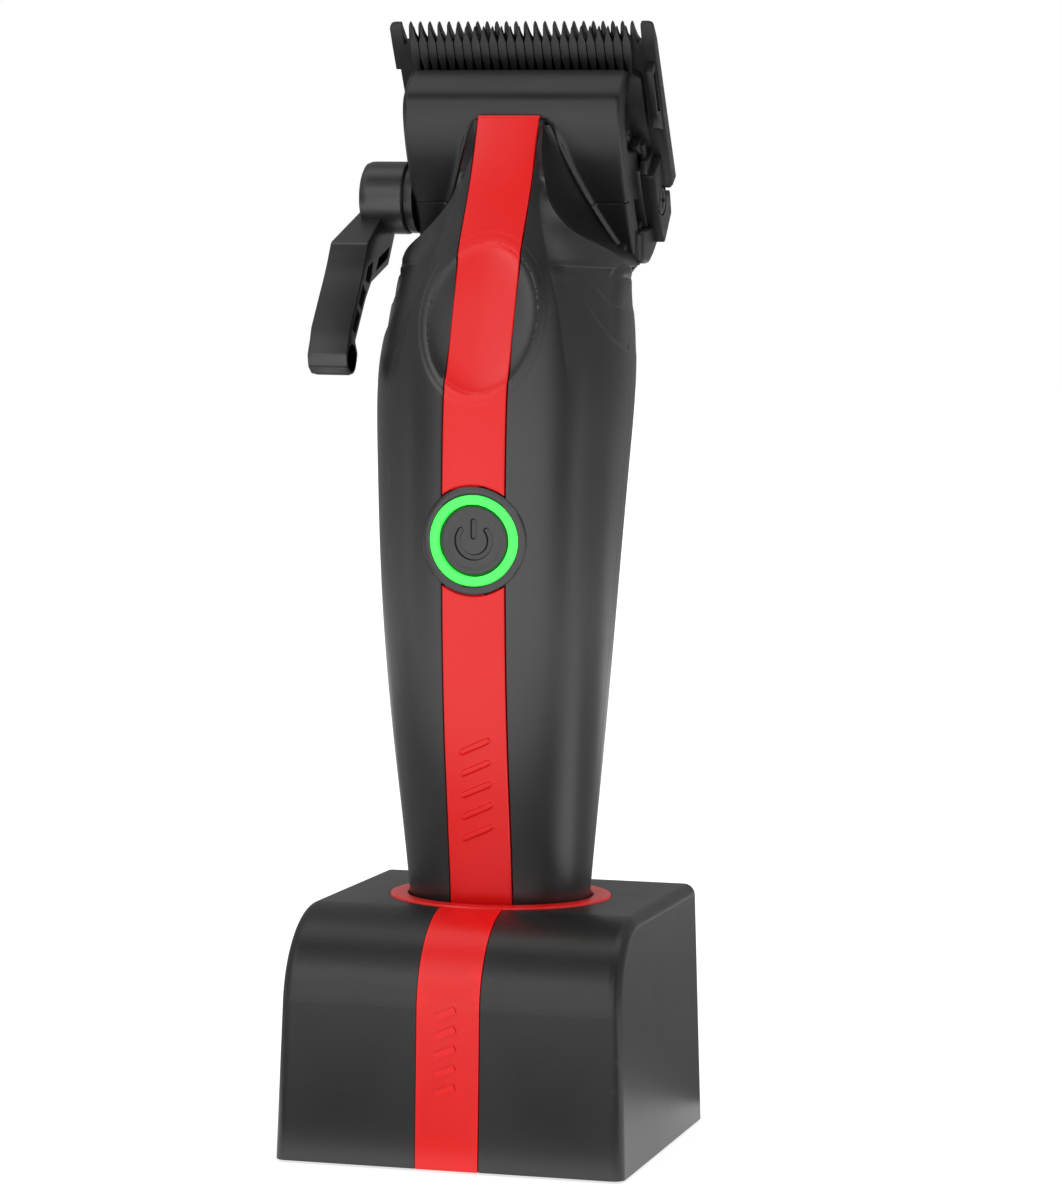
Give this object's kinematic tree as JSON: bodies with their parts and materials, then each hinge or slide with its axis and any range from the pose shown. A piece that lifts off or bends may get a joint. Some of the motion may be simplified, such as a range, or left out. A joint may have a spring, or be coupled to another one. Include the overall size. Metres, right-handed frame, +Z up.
{
  "type": "hair clipper",
  "caption": "Cordless hair clipper with a toothed blade set, taper lever, power button and red front stripe, standing in a square charging dock.",
  "frame": {"origin": "middle of the underside of the dock's rubber pad", "axes": "+Z up along the clipper, +X to the clipper's right as seen from its front, +Y to its back"},
  "size_m": [0.0621, 0.0604, 0.1915],
  "materials": {
    "casing_plastic": "satin dark grey",
    "dock_plastic": "satin dark grey",
    "red_trim": "satin red",
    "well_plastic": "matt black",
    "black_metal": "black coated steel",
    "steel": "plain steel",
    "foot_rubber": "matt",
    "board": "solder mask",
    "contact_metal": "gold plated",
    "light_green": "glowing light guide",
    "cell_sleeve": "shrink sleeve over the can"
  },
  "bodies": {
    "dock": {"dock_shell": "dock_plastic", "dock_base_plate": "well_plastic", "dock_foot_pad": "foot_rubber", "dock_screws": "steel", "dock_stripe": "red_trim", "socket_ring": "red_trim", "socket_well": "well_plastic", "dock_circuit_board": "board", "dock_usb_port": "steel"},
    "charge_pins": {"charge_pins": "contact_metal"},
    "clipper": {"front_shell": "casing_plastic", "back_shell": "casing_plastic", "bottom_cap": "casing_plastic", "charge_contacts": "contact_metal", "stripe_upper": "red_trim", "stripe_lower": "red_trim", "casing_screws": "black_metal", "button_bezel": "casing_plastic", "led_ring": "light_green", "control_board": "board", "button_switch": "well_plastic", "battery_cell": "cell_sleeve", "battery_cradle": "well_plastic", "motor": "steel", "motor_mount": "well_plastic", "head_cover": "well_plastic", "head_collar": "well_plastic", "side_bracket": "black_metal", "bracket_screw": "black_metal", "head_screws": "black_metal", "tension_spring": "steel", "lever_collar": "well_plastic"},
    "button": {"power_button": "casing_plastic"},
    "cam_shaft": {"drive_cam": "steel"},
    "lever": {"taper_lever": "casing_plastic", "lever_shaft": "steel"},
    "blade_carriage": {"fixed_blade": "black_metal", "blade_carrier": "black_metal", "blade_screws": "black_metal"},
    "cutter": {"moving_blade": "black_metal", "drive_yoke": "well_plastic"}
  },
  "joints": [
    {"name": "clipper_lift", "type": "slide", "parent": "dock", "child": "clipper", "axis": [0, 0, 1], "range_m": [0, 0.045]},
    {"name": "charge_pin_press", "type": "slide", "parent": "dock", "child": "charge_pins", "axis": [0, 0, 1], "range_m": [-0.0008, 0], "stiffness_N_per_m": 150, "springref_m": 0.0003},
    {"name": "power_press", "type": "slide", "parent": "clipper", "child": "button", "axis": [0, 1, 0], "range_m": [0, 0.0005], "stiffness_N_per_m": 800, "springref_m": -0.0003},
    {"name": "cam_turn", "type": "hinge", "parent": "clipper", "child": "cam_shaft", "pos_m": [0, 0.003, 0.136], "axis": [0, 0, 1], "continuous": true},
    {"name": "lever_turn", "type": "hinge", "parent": "clipper", "child": "lever", "pos_m": [-0.0255, 0.015, 0.1614], "axis": [1, 0, 0], "range_deg": [-45, 10]},
    {"name": "taper_slide", "type": "slide", "parent": "clipper", "child": "blade_carriage", "axis": [0, -0.5519, 0.8339], "range_m": [-0.00139, 0.00031]},
    {"name": "cutter_slide", "type": "slide", "parent": "clipper", "child": "cutter", "axis": [1, 0, 0], "range_m": [-0.0012, 0.0012]}
  ],
  "couplings": [
    {"joint": "lever_turn", "follows": "taper_slide", "rad_per_m": 561.8}
  ]
}
